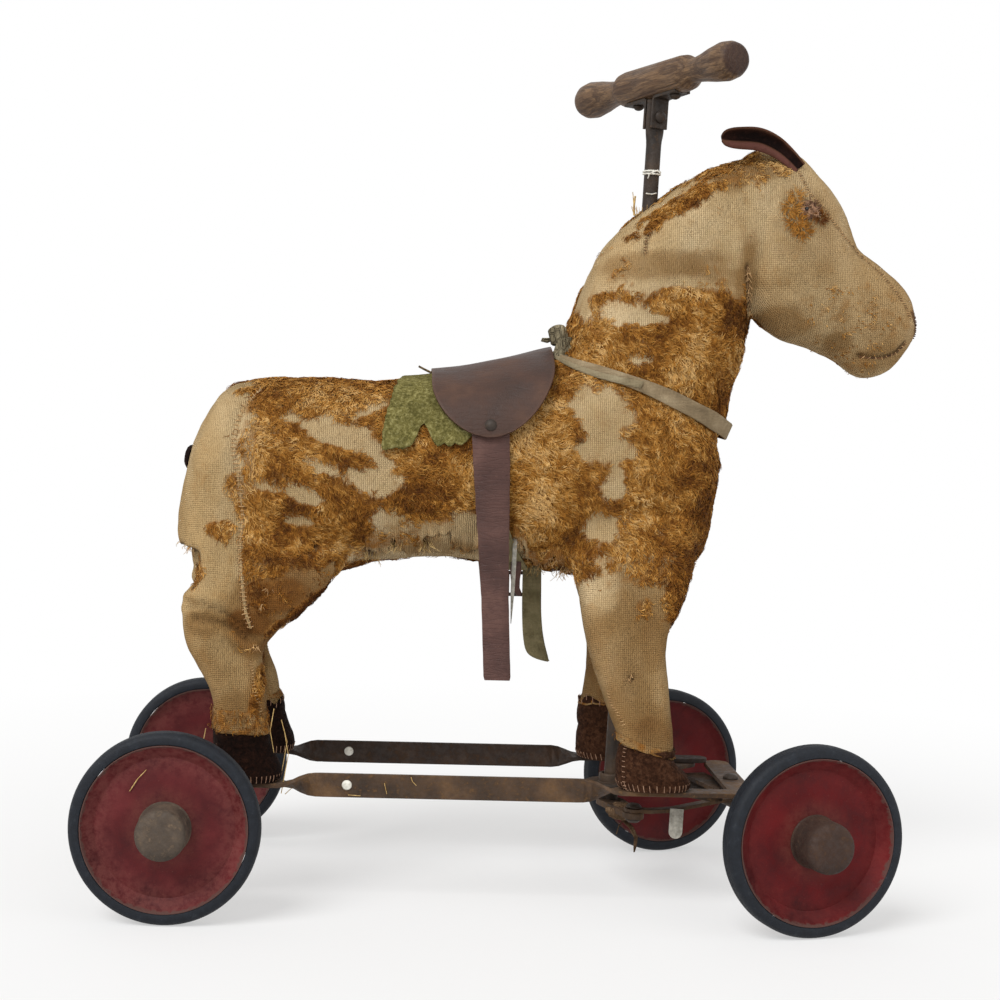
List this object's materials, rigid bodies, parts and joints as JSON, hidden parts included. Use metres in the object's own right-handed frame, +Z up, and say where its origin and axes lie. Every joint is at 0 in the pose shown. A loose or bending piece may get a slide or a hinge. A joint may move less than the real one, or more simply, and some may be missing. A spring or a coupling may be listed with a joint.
{
  "type": "toy horse on wheels",
  "caption": "Stuffed ride-on horse on a steel frame with rubber-tyred wheels, a steered front axle and a turned wooden handle on a column.",
  "frame": {"origin": "on the floor, under the middle of the object's box", "axes": "+X is the way the horse faces, +Y is the horse's left side, +Z is up; the front axle stands turned 16 degrees to the left"},
  "size_m": [0.6423, 0.332, 0.6637],
  "materials": {
    "frame_steel": "worn, rusted brown",
    "dark_steel": "dark, rusted",
    "rivet_steel": "dark, tarnished",
    "rusty_cap": "pitted, rusted brown",
    "red_paint": "worn dark red gloss",
    "tyre_rubber": "hardened blue-black rubber",
    "handle_wood": "worn dark varnish",
    "horse_cloth": "mohair plush, worn through to the backing cloth",
    "hoof_felt": "brown felt, blanket stitched",
    "ear_leather": "dark red-brown, worn",
    "saddle_leather": "dry, cracked brown-red",
    "green_felt": "faded green felt",
    "tape": "woven tape",
    "girth_tape": "dark woven tape"
  },
  "bodies": {
    "frame": {"side_bar_right": "frame_steel", "side_bar_left": "frame_steel", "front_cross_strip": "frame_steel", "rear_axle_bracket": "frame_steel", "rear_axle": "dark_steel", "brace_right": "frame_steel", "brace_left": "frame_steel", "column_bearing": "dark_steel", "king_pin": "dark_steel", "column_bush": "handle_wood", "torso": "horse_cloth", "neck": "horse_cloth", "head": "horse_cloth", "ear_right": "ear_leather", "ear_left": "ear_leather", "tail_stub": "ear_leather", "front_leg_right": "horse_cloth", "front_leg_left": "horse_cloth", "hind_leg_right": "horse_cloth", "hind_leg_left": "horse_cloth", "front_hoof_right": "hoof_felt", "front_hoof_left": "hoof_felt", "hind_hoof_right": "hoof_felt", "hind_hoof_left": "hoof_felt", "saddle": "saddle_leather", "saddle_felt": "green_felt", "saddle_rivet_right": "rivet_steel", "saddle_rivet_left": "rivet_steel", "girth_strap": "girth_tape", "girth_buckle": "dark_steel", "girth_tape_end": "girth_tape", "breast_strap": "tape"},
    "truck": {"truck_bolster": "frame_steel", "front_axle": "dark_steel"},
    "column": {"steering_column": "dark_steel", "crank_arm": "frame_steel", "crank_pin": "dark_steel", "handle_bracket_right": "dark_steel", "handle_bracket_left": "dark_steel", "bracket_rivet": "dark_steel", "handle": "handle_wood", "handle_screw_right": "dark_steel", "handle_screw_left": "dark_steel"},
    "link": {"drag_link": "frame_steel", "link_tab": "tape"},
    "front_wheel_right": {"front_wheel_right_disc": "red_paint", "front_wheel_right_tyre": "tyre_rubber", "front_wheel_right_hub_cap": "rusty_cap"},
    "front_wheel_left": {"front_wheel_left_disc": "red_paint", "front_wheel_left_tyre": "tyre_rubber", "front_wheel_left_hub_cap": "rusty_cap"},
    "rear_wheel_right": {"rear_wheel_right_disc": "red_paint", "rear_wheel_right_tyre": "tyre_rubber", "rear_wheel_right_hub_cap": "rusty_cap"},
    "rear_wheel_left": {"rear_wheel_left_disc": "red_paint", "rear_wheel_left_tyre": "tyre_rubber", "rear_wheel_left_hub_cap": "rusty_cap"},
    "stirrup_right": {"stirrup_strap_right": "saddle_leather"},
    "stirrup_left": {"stirrup_strap_left": "saddle_leather"}
  },
  "joints": [
    {"name": "column_turn", "type": "hinge", "parent": "frame", "child": "column", "pos_m": [0.087, 0, 0.072], "axis": [0.0436, 0, 0.999], "range_deg": [-44, 12]},
    {"name": "truck_turn", "type": "hinge", "parent": "frame", "child": "truck", "pos_m": [0.183, 0, 0.08], "axis": [0, 0, 1], "range_deg": [-44, 12]},
    {"name": "link_turn", "type": "hinge", "parent": "column", "child": "link", "pos_m": [0.10023, -0.04614, 0.07162], "axis": [0.0436, 0, 0.999], "range_deg": [-12, 44]},
    {"name": "front_wheel_right_spin", "type": "hinge", "parent": "truck", "child": "front_wheel_right", "pos_m": [0.22049, -0.13073, 0.07], "axis": [-0.2756, 0.9613, 0], "continuous": true},
    {"name": "front_wheel_left_spin", "type": "hinge", "parent": "truck", "child": "front_wheel_left", "pos_m": [0.14551, 0.13073, 0.07], "axis": [-0.2756, 0.9613, 0], "continuous": true},
    {"name": "rear_wheel_right_spin", "type": "hinge", "parent": "frame", "child": "rear_wheel_right", "pos_m": [-0.251, -0.136, 0.07], "axis": [0, 1, 0], "continuous": true},
    {"name": "rear_wheel_left_spin", "type": "hinge", "parent": "frame", "child": "rear_wheel_left", "pos_m": [-0.251, 0.136, 0.07], "axis": [0, 1, 0], "continuous": true},
    {"name": "stirrup_right_swing", "type": "hinge", "parent": "frame", "child": "stirrup_right", "pos_m": [-0.0185, -0.07683, 0.36564], "axis": [0, -0.9567, 0.2912], "range_deg": [-12, 12]},
    {"name": "stirrup_left_swing", "type": "hinge", "parent": "frame", "child": "stirrup_left", "pos_m": [-0.0185, 0.07683, 0.36564], "axis": [0, 0.9567, 0.2912], "range_deg": [-12, 12]}
  ],
  "couplings": [
    {"joint": "truck_turn", "follows": "column_turn", "ratio": 1},
    {"joint": "link_turn", "follows": "column_turn", "ratio": -1}
  ]
}
